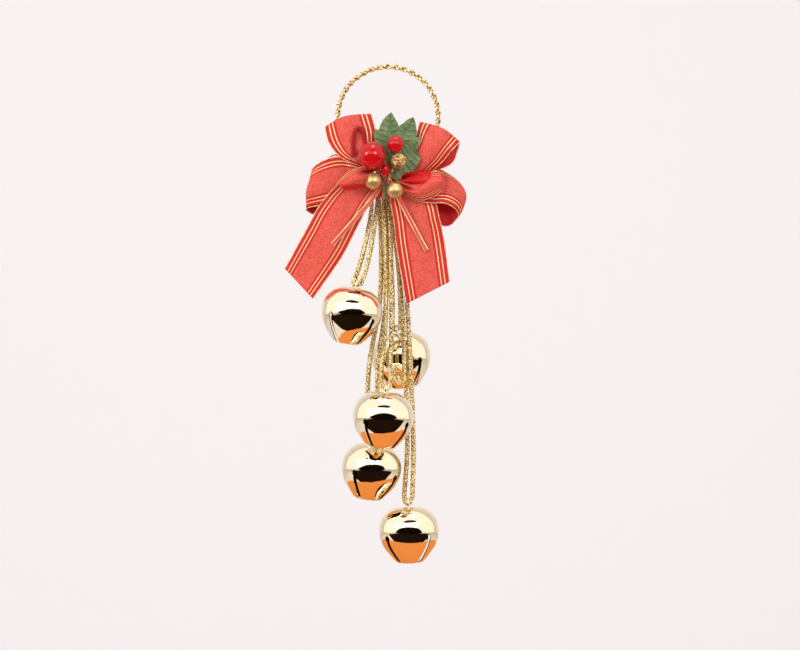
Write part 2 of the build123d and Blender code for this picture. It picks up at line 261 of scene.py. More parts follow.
def foil_yarn(name, dark, middle, light, roughness):
    """Metallic yarn: a foil strip wound round a thread, with painted glints and painted shade in short slanting
    bars of its colour, and the same bars raised as ridges.
    """
    finish, paint, shader = new_finish(name, Metallic=0.5, Specular_IOR_Level=0.7)
    around, along, _ = paint.node("UVMap").parts()
    spot = paint.node("TexCoord", out="Object")
    bars = (along * 0.7 + around).math("FRACT")
    # painted light: lift is lightest in the middle of each slanting bar, so the colour carries painted glints
    # with painted shade between the bars; the bump uses it as the bars' ridges
    lift = 1.0 - (bars - 0.5).math("ABSOLUTE") * 2.0
    patches = spot.noise(620.0, 2.0)
    shade = lift * 0.45 + patches * 0.9 - 0.16
    colour = shade.node("ValToRGB", {"stops": [(0.32, dark), (0.50, middle), (0.66, light)]}, {0: shade})
    colour.feed(shader, "Base Color")
    (patches * 0.35 + (roughness - 0.15)).feed(shader, "Roughness")
    (lift + patches * 0.6).relief(0.55, 0.00012).feed(shader, "Normal")
    return finish


def build(name, shape, *finishes, smooth=True):
    """An object from a finished shape."""
    mesh = bpy.data.meshes.new(name)
    shape.to_mesh(mesh)
    shape.free()
    if smooth:
        mesh.shade_smooth()
    for finish in finishes:
        mesh.materials.append(finish)
    piece = bpy.data.objects.new(name, mesh)
    bpy.context.collection.objects.link(piece)
    return piece


def thicken(piece, thickness):
    """Gives a single sheet its thickness inwards, with its second finish on the inside."""
    wall = piece.modifiers.new("thickness", "SOLIDIFY")
    wall.thickness = thickness
    wall.offset = -1
    wall.material_offset = 1
    bpy.context.view_layer.objects.active = piece
    piece.select_set(True)
    bpy.ops.object.modifier_apply(modifier="thickness")


def tubes(name, lines, radius, sides, finish):
    """One mesh of closed tubes along lines of points, unwrapped around and along in millimetres."""
    shape = bmesh.new()
    wrap = shape.loops.layers.uv.new("UVMap")
    for line in lines:
        points = [Vector(p) for p in line]
        count = len(points)
        up = Vector((0.3, 1, 0.2))
        along = 0.0
        rings, reach = [], []
        for i, point in enumerate(points):
            ahead = (points[min(i + 1, count - 1)] - points[max(i - 1, 0)]).normalized()
            up = (up - ahead * up.dot(ahead)).normalized()
            side = ahead.cross(up)
            if i:
                along += (point - points[i - 1]).length * 1000
            reach.append(along)
            ring = []
            for j in range(sides):
                angle = 2 * pi * j / sides
                ring.append(shape.verts.new(point + (up * cos(angle) + side * sin(angle)) * radius))
            rings.append(ring)
        for i in range(count - 1):
            for j in range(sides):
                k = (j + 1) % sides
                face = shape.faces.new((rings[i][j], rings[i][k], rings[i + 1][k], rings[i + 1][j]))
                corners = ((j, i), (j + 1, i), (j + 1, i + 1), (j, i + 1))
                for loop, (a, b) in zip(face.loops, corners):
                    loop[wrap].uv = (a / sides, reach[b])
        shape.faces.new(rings[0][::-1])
        shape.faces.new(rings[-1])
    bmesh.ops.recalc_face_normals(shape, faces=shape.faces)
    return build(name, shape, finish)


def smooth_line(points, resolution=12):
    """Points in metres along the smooth curve that given points in millimetres control."""
    curve = bpy.data.curves.new("route", "CURVE")
    curve.dimensions = "3D"
    spline = curve.splines.new("NURBS")
    spline.points.add(len(points) - 1)
    for point, (x, y, z) in zip(spline.points, points):
        point.co = (x / 1000, y / 1000, z / 1000, 1)
    spline.order_u = 3
    spline.use_endpoint_u = True
    spline.resolution_u = resolution
    holder = bpy.data.objects.new("route", curve)
    bpy.context.collection.objects.link(holder)
    bpy.context.view_layer.update()
    mesh = bpy.data.meshes.new_from_object(holder)
    line = [vertex.co.copy() for vertex in mesh.vertices]
    bpy.data.objects.remove(holder)
    bpy.data.meshes.remove(mesh)
    return line


def evenly(line, gap):
    """The same line with its points gap apart."""
    reach = [0.0]
    for a, b in zip(line, line[1:]):
        reach.append(reach[-1] + (b - a).length)
    count = max(2, ceil(reach[-1] / gap))
    even, k = [], 0
    for i in range(count + 1):
        target = reach[-1] * i / count
        while k < len(line) - 2 and reach[k + 1] < target:
            k += 1
        share = (target - reach[k]) / max(reach[k + 1] - reach[k], 1e-9)
        even.append(line[k].lerp(line[k + 1], min(share, 1.0)))
    return even, reach[-1]


def plait(line, radius, yarns=6, pitch=0.0066):
    """Yarns that spiral both ways round a line and pass over and under each other."""
    points, length = evenly(line, pitch / 14)
    gap = length / (len(points) - 1)
    yarn_radius = radius * 0.34
    tight_length = 0.014
    lines = [[] for _ in range(yarns)]
    up = Vector((0.3, 1, 0.2))
    for i, point in enumerate(points):
        ahead = (points[min(i + 1, len(points) - 1)] - points[max(i - 1, 0)]).normalized()
        up = (up - ahead * up.dot(ahead)).normalized()
        side = ahead.cross(up)
        for yarn in range(yarns):
            way = 1 if yarn % 2 else -1
            turn = 2 * pi * (i * gap / pitch)
            angle = way * turn + 2 * pi * (yarn // 2) / (yarns / 2)
            over = sin(turn * yarns / 2 + (0 if yarn % 2 else pi))
            # the thread binding holds both ends tight
            tight = 0.74 + 0.26 * min(1.0, min(i, len(points) - 1 - i) * gap / tight_length)
            out = radius * tight - yarn_radius * (1.5 - 0.5 * over)
            lines[yarn].append(point + (up * cos(angle) + side * sin(angle)) * out)
    return lines, yarn_radius


cord_yarn = foil_yarn("cord_yarn", (0.17, 0.080, 0.012), (0.76, 0.50, 0.13), (1.0, 0.90, 0.52), 0.36)

for number in range(1, 6):
    hang_x, hang_y, hang_z = hang_points[number - 1]
    fold_x = hang_x + shank_radius * sin(radians(bell_leans[number - 1]))
    fold = [(fold_x - 2.1, hang_y, hang_z), (fold_x + 2.1, hang_y, hang_z)]
    left, right = left_strands[number - 1], right_strands[number - 1]
    # both ends carry on up into the thread binding
    route = [(*left[0][:2], cord_top_z)] + left + fold + right[::-1] + [(*right[0][:2], cord_top_z)]
    line = smooth_line(route)
    yarns, yarn_radius = plait(line, cord_radius)
    cord = tubes(f"braided_cord_{number}", yarns, yarn_radius, 6, cord_yarn)
    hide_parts(f"cord_{number}")
    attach(cord, f"cord_body_{number}")
    length = sum((b - a).length for a, b in zip(line, line[1:]))

# --- cord heads and their binding ---
# The same five cords loop over the bottom of the hoop. A thin thread is wound round all of
# them below it and holds them together behind the bow.
hoop_radius = 25.1
hoop_centre_z = -23.75
head_reach = 2.75
head_yarns = []
for x in (-5.2, -2.6, 0.0, 2.6, 5.2):
    crown = hoop_centre_z - sqrt(hoop_radius**2 - x**2)
    head = [(x, -head_reach, -59.5), (x, -head_reach, -53.5), (x, -head_reach, crown),
            (x, -head_reach, crown + head_reach * 1.1), (x, head_reach, crown + head_reach * 1.1),
            (x, head_reach, crown), (x, head_reach, -53.5), (x, head_reach, -59.5)]
    yarns, yarn_radius = plait(smooth_line(head), cord_radius)
    head_yarns.extend(yarns)
heads = tubes("cord_heads", head_yarns, yarn_radius, 6, cord_yarn)
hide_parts("cord_head_loops")
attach(heads, "hanger")

binding_low, binding_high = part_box("cord_binding")
binding_middle = (Vector(binding_low) + Vector(binding_high)) / 2
half_wide = (binding_high[0] - binding_low[0]) / 2
half_deep = (binding_high[1] - binding_low[1]) / 2
thread_radius = 0.00028
thread_pitch = 2 * thread_radius * 0.96
winds = int((binding_high[2] - binding_low[2]) / thread_pitch)
wound = []
turn_steps = 48
flat = 4.0
for i in range(winds * turn_steps + 1):
    angle = 2 * pi * i / turn_steps
    size = (abs(cos(angle)) ** flat + abs(sin(angle)) ** flat) ** (-1 / flat)
    height = binding_low[2] + thread_radius + i / turn_steps * thread_pitch
    wound.append(Vector((binding_middle.x + cos(angle) * size * (half_wide - thread_radius),
                         binding_middle.y + sin(angle) * size * (half_deep - thread_radius), height)))
thread = tubes("binding_thread", [wound], thread_radius, 6,
               foil_yarn("binding_thread", (0.16, 0.08, 0.03), (0.48, 0.31, 0.12), (0.8, 0.62, 0.3), 0.6))
bpy.ops.mesh.primitive_cube_add(size=1, location=binding_middle)
core = bpy.context.object
core.name = "binding_filling"
core.scale = (2 * half_wide - 0.0016, 2 * half_deep - 0.0016, binding_high[2] - binding_low[2] - 0.0006)
bpy.ops.object.transform_apply()
bpy.ops.object.mode_set(mode="EDIT")
bpy.ops.mesh.select_all(action="SELECT")
bpy.ops.mesh.bevel(offset=0.0018, segments=4)
bpy.ops.object.mode_set(mode="OBJECT")
core.data.materials.append(cord_yarn)
for piece in (thread, core):
    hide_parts("cord_binding")
    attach(piece, "hanger")

# --- hoop ---
# Two plies of ridged gold foil twisted round a steel wire, which keeps the loop round.
ply_radius = 0.00066
ply_reach = 0.00069
twists = 19
hoop_steps = twists * 20
foil_ridges = 6
hoop_length = 158
hoop_finish = foil_yarn("hoop_foil", (0.24, 0.11, 0.02), (0.70, 0.45, 0.12), (1.0, 0.86, 0.46), 0.34)


def hoop_point(turn, reach, angle):
    """A point at this angle and reach round the hoop's own wire."""
    ring = hoop_radius / 1000 + reach * cos(angle)
    return Vector((ring * sin(turn), reach * sin(angle), hoop_centre_z / 1000 + ring * cos(turn)))


ply_shape = bmesh.new()
ply_wrap = ply_shape.loops.layers.uv.new("UVMap")
ply_sides = 18
for ply in range(2):
    rings = []
    for i in range(hoop_steps):
        turn = 2 * pi * i / hoop_steps
        twist = twists * turn + pi * ply
        middle = hoop_point(turn, ply_reach, twist)
        ring = []
        for j in range(ply_sides):
            angle = 2 * pi * j / ply_sides
            ridge = 1 + 0.10 * cos(foil_ridges * angle - 46 * turn)
            outward = Vector((sin(turn), 0, cos(turn)))
            place = outward * cos(angle + twist) + Vector((0, 1, 0)) * sin(angle + twist)
            ring.append(ply_shape.verts.new(middle + place * ply_radius * ridge))
        rings.append(ring)
    for i in range(hoop_steps):
        nxt = (i + 1) % hoop_steps
        for j in range(ply_sides):
            k = (j + 1) % ply_sides
            face = ply_shape.faces.new((rings[i][j], rings[nxt][j], rings[nxt][k], rings[i][k]))
            for loop, (a, b) in zip(face.loops, ((j, i), (j, i + 1), (j + 1, i + 1), (j + 1, i))):
                loop[ply_wrap].uv = (a / ply_sides, b / hoop_steps * hoop_length)
bmesh.ops.recalc_face_normals(ply_shape, faces=ply_shape.faces)
hoop = build("twisted_hoop", ply_shape, hoop_finish)
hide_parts("hoop_foil_cord")
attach(hoop, "hanger")


def paint_node(name, finish):
    """A CAD node keeps its shape and takes this finish."""
    for material_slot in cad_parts[name].material_slots:
        material_slot.material = finish


wire_finish, paint, shader = new_finish("drawn_steel", Metallic=1.0)
streaks = paint.node("TexCoord", out="Object").noise(900.0)
streaks.tint((0.30, 0.27, 0.24), (0.55, 0.52, 0.48)).feed(shader, "Base Color")
(streaks * 0.3 + 0.25).feed(shader, "Roughness")
paint_node("hoop_wire_core", wire_finish)

# --- bells ---
# Thin brass shells pressed to an apple shape and plated mirror gold. Four slots run up from the
# foot and end in round holes. A wire loop on the crown hangs on the cord, and a ball rattles inside.
bell_height = 0.0285
bell_wall = 0.0005
bell_crown = -0.0016
slot_half = 0.001
slot_top = 0.0131
hole_radius = 0.0015
outline = [(0.0, 0.0), (5.0, 0.0), (7.2, 1.2), (10.0, 4.56), (12.4, 7.6), (14.0, 10.55), (15.0, 14.0),
           (15.15, 17.0), (14.6, 20.8), (12.6, 24.2), (10.2, 26.4), (7.2, 28.0), (4.2, 28.5), (0.0, 28.1)]

plate_finish, paint, shader = new_finish("gold_plate", Metallic=1.0, Roughness=0.035)
spot = paint.node("TexCoord", out="Object")
cloud = spot.noise(60.0, 4.0)
cloud.tint((0.92, 0.76, 0.50), (0.97, 0.86, 0.64)).feed(shader, "Base Color")
(spot.noise(420.0, 5.0) * 0.07 + 0.012).feed(shader, "Roughness")
spot.noise(105.0, 2.0).relief(0.22, 0.0006).feed(shader, "Normal")

inside_finish, paint, shader = new_finish("bare_brass", Metallic=1.0)
dull = paint.node("TexCoord", out="Object").noise(300.0)
dull.tint((0.20, 0.11, 0.04), (0.42, 0.27, 0.11)).feed(shader, "Base Color")
(dull * 0.3 + 0.4).feed(shader, "Roughness")


def bell_outline():
    """The outline from the foot to the crown, as (radius, height) in metres, closely spaced."""
    line = smooth_line([(r, 0, z) for r, z in outline], resolution=10)
    even, _ = evenly(line, 0.00042)
    return [(point.x, point.z) for point in even]


def slot_width(height):
    """Half the opening's width at this height."""
    round_part = hole_radius**2 - (height - slot_top) ** 2
    wide = sqrt(round_part) if round_part > 0 else 0.0
    return max(slot_half, wide) if height < slot_top else wide


bell_turns = [4.0, -6.0, 10.0, 12.0, -3.0]
steps = 30
for number in range(1, 6):
    shape = bmesh.new()
    quarter = [(r, z) for r, z in bell_outline() if r > slot_half * sqrt(2) + 1e-5 or z > bell_height / 2]
    for side in range(4):
        rows = []
        for r, z in quarter:
            shut = asin(min(slot_width(z) / max(r, 1e-6), 0.7071)) if slot_width(z) > 0 else 0.0
            start = side * pi / 2 + pi / 4 + shut
            span = pi / 2 - 2 * shut
            row = [shape.verts.new((r * cos(start + span * j / steps), r * sin(start + span * j / steps),
                                    bell_crown - bell_height + z)) for j in range(steps + 1)]
            rows.append(row)
        for low, high in zip(rows, rows[1:]):
            for j in range(steps):
                shape.faces.new((low[j], low[j + 1], high[j + 1], high[j]))
    bmesh.ops.remove_doubles(shape, verts=shape.verts, dist=1e-6)
    bmesh.ops.dissolve_degenerate(shape, edges=shape.edges, dist=1e-7)
    bell = build(f"bell_{number}", shape, plate_finish, inside_finish, smooth=False)
    thicken(bell, bell_wall)
    bpy.ops.object.shade_smooth_by_angle(angle=radians(35))
    place = Matrix.Translation(Vector(hang_points[number - 1]) / 1000)
    place = place @ Matrix.Rotation(radians(bell_leans[number - 1]), 4, "Y")
    place = place @ Matrix.Rotation(radians(bell_turns[number - 1]), 4, "Z")
    bell.data.transform(place)
    bell.select_set(False)
    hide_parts(f"bell_shell_{number}")
    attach(bell, f"bell_body_{number}")
    paint_node(f"bell_shank_{number}", plate_finish)
    paint_node(f"bell_pellet_{number}", wire_finish)

# --- bow loops and tails ---
# One 25 mm ribbon folded into loops and gathered at the middle: coral cloth with glitter between
# bright red bands that carry gold lines, wired gold edges, and a plain deep red back.
ribbon_width = 25.0
ribbon_thickness = 0.0003
least_cloth = 0.735
thread_gap = 0.42
scallop_gap = 0.00022
scallop_length = 0.0011

face_finish, paint, shader = new_finish("ribbon_face", Specular_IOR_Level=0.25)
across, along, _ = paint.node("UVMap").parts()
spot = paint.node("TexCoord", out="Object")
inset = across.math("MINIMUM", ribbon_width - across)
threads_along = along.wave(thread_gap)
threads_across = across.wave(thread_gap)
weave = threads_along.math("MAXIMUM", threads_across)
grain = spot.noise(2300.0, 2.0)
cloud = spot.noise(160.0, 3.0)


def stripe(middle, half):
    """1 on the line this far in from the ribbon's edge."""
    return 1.0 - (inset - middle).math("ABSOLUTE").step(half - 0.08, half + 0.08)


gold_lines = stripe(2.3, 0.28).math("MAXIMUM", stripe(4.4, 0.28))
red_band = 1.0 - inset.step(5.75, 5.95)
# painted shade: a darker crimson line along the red band's inner edge stands in for the shade of a pleat
painted_pleat_shade = stripe(5.75, 0.25)
glitter = grain.step(0.60, 0.70)
speckle = spot.noise(1700.0, 1.0)
coral = (speckle * 1.6 + cloud * 0.5 - 0.55).tint((0.50, 0.030, 0.020), (0.88, 0.135, 0.090))
# the paler flecks are the cloth's glitter grains, their sparkle painted into the colour as painted highlights
coral = (glitter * 0.5).tint(coral, (1.0, 0.40, 0.30))
satin = (threads_along * 0.4 + cloud * 0.6).tint((0.46, 0.005, 0.005), (0.76, 0.018, 0.012))
cloth = red_band.tint(coral, satin)
# the painted pleat shade darkens the cloth along the band's edge
cloth = (painted_pleat_shade * 0.55).tint(cloth, (0.42, 0.008, 0.008))
# painted light: the gold lines' colour goes light and dark in short slanting bars, painted glints and painted
# shade of their twisted thread
gold_twist_painted_glint = ((along * 1.9 + across * 0.9).math("FRACT") - 0.5).math("ABSOLUTE") * 2.0
gold_thread = gold_twist_painted_glint.tint((0.72, 0.36, 0.10), (1.0, 0.86, 0.52))
gold_lines.tint(cloth, gold_thread).feed(shader, "Base Color")
(gold_lines * 0.25).feed(shader, "Metallic")
(0.68 - red_band * 0.14 - gold_lines * 0.16).feed(shader, "Roughness")
(weave * 0.4 + grain * 0.5 + gold_lines * 1.6).relief(0.45, 0.00012).feed(shader, "Normal")

back_finish, paint, shader = new_finish("ribbon_back", Specular_IOR_Level=0.3)
_, along, _ = paint.node("UVMap").parts()
rib = along.wave(thread_gap)
fibre = paint.node("TexCoord", out="Object").noise(700.0)
(rib * 0.4 + fibre * 0.6).tint((0.42, 0.003, 0.004), (0.78, 0.008, 0.008)).feed(shader, "Base Color")
(0.45 + fibre * 0.2).feed(shader, "Roughness")
(rib + fibre * 0.5).relief(0.4, 0.0001).feed(shader, "Normal")

edge_finish = foil_yarn("ribbon_edge", (0.50, 0.22, 0.05), (0.90, 0.62, 0.26), (1.0, 0.90, 0.58), 0.45)


def through(points, share):
    """The point at this share of a smooth curve that passes through all the points."""
    spans = len(points) - 1
    index = min(int(share * spans), spans - 1)
    t = share * spans - index
    a = points[max(index - 1, 0)]
    b = points[index]
    c = points[index + 1]
    d = points[min(index + 2, spans)]
    square, cube = 2 * a - 5 * b + 4 * c - d, 3 * b - a - 3 * c + d
    return 0.5 * (2 * b + (c - a) * t + square * t**2 + cube * t**3)


def ribbon(name, ribs, node, pleats=2.0, seed=0.0, width=ribbon_width, rows_each=14, columns=30,
           face=face_finish, back=back_finish, ends=(0.24, 0.24)):
    """A ribbon through ribs: (x, y, z) in millimetres for its two edges, with its middle between.

    It is pleated towards its gathered ends, over these shares of its length, and smooth between."""
    lefts = [Vector(rib[0]) / 1000 for rib in ribs]
    rights = [Vector(rib[-1]) / 1000 for rib in ribs]
    bulges = []
    for rib in ribs:
        straight = (Vector(rib[0]) + Vector(rib[-1])) / 2
        bulges.append((Vector(rib[1]) - straight if len(rib) == 3 else Vector()) / 1000)
    rows = rows_each * (len(ribs) - 1)
    early, late = 0.25, 0.27
    way = (through(lefts, late) + through(rights, late) - through(lefts, early) - through(rights, early))
    facing = -1 if way.cross(through(rights, early) - through(lefts, early)).y > 0 else 1
    # it swells forwards and pleats further until the shape holds this share of the cut's area;
    # real cloth would keep nearly all of it in tighter pleats
    for fullness in (0.5, 0.6, 0.7, 0.75, 0.8, 0.85, 0.9, 0.95, 1.0, 1.1, 1.2, 1.3, 1.4, 1.5):
        grid, reach, area = [], [0.0], 0.0
        for i in range(rows + 1):
            share = i / rows
            left, right, bulge = through(lefts, share), through(rights, share), through(bulges, share)
            ahead, behind = min(share + 0.01, 1.0), max(share - 0.01, 0.0)
            way = (through(lefts, ahead) + through(rights, ahead)
                   - through(lefts, behind) - through(rights, behind))
            out = way.cross(right - left).normalized()
            base = [left.lerp(right, j / columns) + bulge * (1 - (2 * j / columns - 1) ** 2)
                    for j in range(columns + 1)]
            wide = sum((q - p).length for p, q in zip(base, base[1:])) * 1000
            spare = sqrt(max(fullness * width - wide, 0) * wide) / 1000
            near = max(1 - share / ends[0] if ends[0] else 0, 1 - (1 - share) / ends[1] if ends[1] else 0, 0)
            deep = spare * near / (pi * pleats) * 1.5
            puff = Vector((0, -1, 0)) * (spare * (1 - near) * 2 / pi + 0.0005)
            row = []
            for j, point in enumerate(base):
                u = j / columns
                ripple = noise.noise(Vector((u * 2.2 + seed, share * 3.0 + seed, seed))) * 0.0008
                pleat = sin(2 * pi * pleats * u + seed) * deep
                row.append(point + puff * sin(pi * u) + out * (pleat + ripple))
            if grid:
                steps = [(q - p).length * 1000 for p, q in zip(grid[-1], row)]
                reach.append(reach[-1] + sum(steps) / len(steps))
                for p, q, q2, p2 in zip(grid[-1], row, row[1:], grid[-1][1:]):
                    area += ((q2 - p).cross(p2 - q)).length * 5e5
            grid.append(row)
        if area > least_cloth * width * reach[-1]:
            break
    shape = bmesh.new()
    wrap = shape.loops.layers.uv.new("UVMap")
    verts = [[shape.verts.new(point) for point in row] for row in grid]
    for i in range(rows):
        for j in range(columns):
            corners = [(i, j), (i, j + 1), (i + 1, j + 1), (i + 1, j)]
            if facing < 0:
                corners.reverse()
            face_made = shape.faces.new([verts[a][b] for a, b in corners])
            for loop, (a, b) in zip(face_made.loops, corners):
                loop[wrap].uv = (b / columns * width, reach[a])
    # the face of the ribbon looks to the front on its way out from the knot
    shape.normal_update()
    if sum(f.normal.y for f in list(shape.faces)[: rows_each * columns]) > 0:
        bmesh.ops.reverse_faces(shape, faces=shape.faces)
    piece = build(name, shape, face, back)
    thicken(piece, ribbon_thickness)
    piece.select_set(False)
    # the wired edges: a gold thread that stands out in small even loops
    edges = []
    for column, inner in ((0, 1), (columns, columns - 1)):
        edge, _ = evenly([row[column] for row in grid], scallop_gap)
        inside, _ = evenly([row[inner] for row in grid], scallop_gap)
        scallop = []
        for k, point in enumerate(edge):
            away = point - inside[min(k, len(inside) - 1)]
            away.normalize()
            scallop.append(point + away * (0.00006 + 0.00036 * abs(sin(pi * k * scallop_gap / scallop_length))))
        edges.append(scallop)
    trim = tubes(name + "_edges", edges, 0.00019, 5, edge_finish)
    for part in (piece, trim):
        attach(part, "hanger")
    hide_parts(node)
    return piece, trim, reach[-1]


loop_ribs = {
    "bow_loop_upper_left": [
        ((-9.5, -9.0, -51.5), (-4.5, -9.0, -49.5)),
        ((-18.5, -10.5, -47.0), (-5.6, -9.8, -42.0)),
        ((-25.2, -11.0, -42.6), (-6.4, -10.8, -37.0)),
        ((-29.4, -10.4, -36.6), (-6.4, -10.2, -31.0)),
        ((-31.1, -8.2, -29.6), (-20.4, -10.4, -25.6), (-8.2, -8.6, -24.0)),
        ((-30.8, -5.0, -28.6), (-20.2, -5.4, -24.0), (-8.8, -5.2, -23.3)),
        ((-30.2, -2.8, -32.5), (-8.6, -3.1, -27.5)),
        ((-25.0, -3.0, -41.0), (-8.0, -3.8, -36.0)),
        ((-9.0, -6.5, -52.5), (-5.5, -6.5, -50.5)),
    ],
    "bow_loop_upper_right": [
        ((3.0, -9.0, -50.5), (7.5, -9.0, -54.5)),
        ((9.5, -10.2, -44.5), (17.5, -10.5, -54.0)),
        ((13.4, -10.8, -37.0), (24.8, -11.0, -48.6)),
        ((15.0, -10.0, -30.4), (30.8, -10.2, -41.6)),
        ((16.0, -7.6, -27.0), (26.4, -9.2, -30.8), (35.0, -7.6, -37.0)),
        ((16.8, -4.4, -26.6), (26.8, -5.0, -30.0), (35.5, -4.2, -36.6)),
        ((17.0, -3.0, -31.0), (34.4, -2.8, -41.0)),
        ((14.0, -3.4, -41.0), (29.6, -3.0, -48.4)),
        ((4.0, -6.5, -52.0), (8.0, -6.5, -55.5)),
    ],
    "bow_loop_left": [
        ((-6.5, -9.5, -53.0), (-7.0, -9.5, -59.5)),
        ((-14.4, -10.6, -47.4), (-14.0, -8.6, -61.5)),
        ((-23.2, -10.6, -44.5), (-24.0, -8.8, -65.0)),
        ((-30.8, -9.6, -45.7), (-33.6, -9.4, -67.8)),
        ((-36.6, -7.6, -48.9), (-39.2, -9.6, -59.0), (-40.0, -8.6, -69.2)),
        ((-38.2, -4.4, -51.6), (-39.8, -4.4, -60.0), (-40.3, -5.0, -70.6)),
        ((-34.0, -1.6, -51.5), (-35.6, -3.0, -72.2)),
        ((-20.0, -2.6, -51.5), (-22.0, -3.8, -68.0)),
        ((-8.0, -6.5, -55.5), (-8.0, -6.5, -61.0)),
    ],
    "bow_loop_right": [
        ((5.5, -9.5, -54.0), (6.0, -9.5, -61.0)),
        ((14.5, -7.4, -49.6), (13.5, -12.8, -65.6)),
        ((22.5, -5.4, -49.0), (22.5, -10.4, -57.6), (21.0, -15.0, -67.0)),
        ((29.5, -3.2, -52.0), (30.0, -10.0, -58.2), (28.0, -15.4, -67.0)),
        ((34.8, -1.6, -55.8), (36.2, -8.0, -61.0), (32.6, -14.0, -68.8)),
        ((37.4, 0.6, -59.6), (38.9, -5.0, -65.4), (35.2, -11.0, -71.8)),
        ((36.2, 3.0, -62.0), (37.0, -1.4, -69.4), (34.4, -7.6, -74.6)),
        ((30.0, 3.4, -60.5), (29.0, -4.6, -78.2)),
        ((20.0, 1.4, -58.5), (20.0, -4.0, -74.0)),
        ((7.5, -5.5, -57.0), (7.5, -6.0, -62.0)),
    ],
    "bow_loop_front_left": [
        ((-5.5, -13.0, -49.4), (-4.5, -13.0, -56.6)),
        ((-12.5, -16.3, -49.8), (-8.5, -16.5, -57.6)),
        ((-18.6, -17.8, -52.0), (-12.8, -18.0, -58.6)),
        ((-22.8, -17.4, -55.4), (-17.6, -17.6, -59.8)),
        ((-25.4, -16.4, -58.2), (-21.4, -16.6, -60.6)),
        ((-22.8, -15.6, -57.0), (-17.0, -15.8, -60.4)),
        ((-14.6, -14.3, -53.6), (-10.6, -14.5, -59.0)),
        ((-6.0, -12.4, -52.6), (-5.0, -12.4, -58.4)),
    ],
    "bow_loop_front_right": [
        ((4.5, -13.0, -54.8), (5.0, -13.0, -61.6)),
        ((11.7, -15.8, -57.6), (11.6, -16.2, -64.4)),
        ((17.4, -16.6, -56.0), (17.0, -17.2, -65.8)),
        ((22.0, -16.2, -52.0), (22.2, -17.0, -64.2)),
        ((26.4, -15.2, -52.4), (25.6, -15.6, -61.8)),
        ((25.6, -14.0, -52.0), (25.4, -14.2, -61.0)),
        ((18.0, -13.8, -51.4), (18.0, -14.0, -61.6)),
        ((12.4, -13.0, -51.6), (12.0, -13.2, -61.6)),
        ((6.0, -11.8, -54.0), (6.0, -11.8, -60.6)),
    ],
}
tail_ribs = {
    "bow_tail_left": [
        ((-8.0, -9.4, -52.0), (-4.2, -10.0, -59.0)),
        ((-19.0, -11.8, -54.4), (-6.6, -12.0, -63.0)),
        ((-27.2, -12.2, -60.8), (-11.6, -12.2, -71.6)),
        ((-34.2, -12.6, -69.5), (-17.0, -12.2, -82.4)),
        ((-39.8, -12.8, -79.6), (-22.6, -12.0, -93.2)),
        ((-45.2, -12.2, -89.4), (-29.6, -11.6, -103.6)),
        ((-51.0, -11.6, -100.0), (-37.4, -12.4, -114.6)),
    ],
    "bow_tail_right": [
        ((1.8, -10.0, -61.0), (7.5, -9.4, -59.5)),
        ((1.7, -12.2, -67.0), (21.5, -11.8, -65.0)),
        ((3.3, -12.0, -77.0), (25.4, -12.6, -75.4)),
        ((4.8, -12.2, -90.0), (28.0, -12.0, -88.0)),
        ((9.4, -11.6, -117.2), (30.4, -12.2, -106.4)),
    ],
}
for index, (node, ribs) in enumerate(loop_ribs.items()):
    loop, trim, length = ribbon("ribbon_" + node[4:], ribs, node, seed=1.7 * index)
    length / 1000
for index, (node, ribs) in enumerate(tail_ribs.items()):
    tail, trim, length = ribbon("ribbon_" + node[4:], ribs, node, seed=4.3 + index, ends=(0.42, 0))
    length / 1000

# the pinched middle, where all the ribbon's pleats meet
gather_low, gather_high = (Vector(corner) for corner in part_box("bow_center_gather"))
bpy.ops.mesh.primitive_uv_sphere_add(segments=72, ring_count=24, radius=1,
                                     location=(gather_low + gather_high) / 2)
gather = bpy.context.object
gather.name = "gathered_middle"
gather.scale = (gather_high - gather_low) * 0.5
bpy.ops.object.transform_apply()
middle = (gather_low + gather_high) / 2
for vertex in gather.data.vertices:
    away = vertex.co - middle
    pleat = sin(atan2(away.z, away.x) * 17) * 0.06 * min(hypot(away.x, away.z) / 0.006, 1)
    vertex.co = middle + Vector((away.x * (1 + pleat), away.y, away.z * (1 + pleat)))
gather.data.materials.append(back_finish)
gather.data.shade_smooth()
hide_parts("bow_center_gather")
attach(gather, "hanger")

# --- tie ribbon ---
# A narrow red ribbon with gold edges is wound round the bow's middle and the cords and knotted in
# front. Its two ends hang over the wide tails.
tie_width = 2.3
tie_finish, paint, shader = new_finish("tie_ribbon", Sheen_Weight=0.2)
across, along, _ = paint.node("UVMap").parts()
border = across.math("MINIMUM", tie_width - across)
edge = 1.0 - border.step(0.42, 0.55)
twill = ((along * 7.0 + across * 7.0).math("SINE") + 1.0) * 0.5
glint = ((along * 2.6).math("FRACT") - 0.5).math("ABSOLUTE") * 2.0
satin = twill.tint((0.60, 0.015, 0.012), (0.90, 0.07, 0.05))
edge.tint(satin, glint.tint((0.62, 0.36, 0.10), (1.0, 0.84, 0.5))).feed(shader, "Base Color")
(edge * 0.6).feed(shader, "Metallic")
(0.5 - edge * 0.12).feed(shader, "Roughness")
(twill * 0.4 + edge * 1.5).relief(0.4, 0.00012).feed(shader, "Normal")


def tie_strip(name, middle_line, facing, node):
    """A narrow strip along a smooth line through points in millimetres, facing one way."""
    points = [Vector(p) for p in middle_line]
    ribs = []
    for i, point in enumerate(points):
        ahead = points[min(i + 1, len(points) - 1)] - points[max(i - 1, 0)]
        side = ahead.cross(Vector(facing[i])).normalized() * tie_width / 2
        ribs.append((point - side, point + side))
    _, trim, _ = ribbon(name, ribs, node, pleats=1.0, seed=0.2, width=tie_width, columns=8,
                        face=tie_finish, back=tie_finish, ends=(0, 0))
    bpy.data.objects.remove(trim)


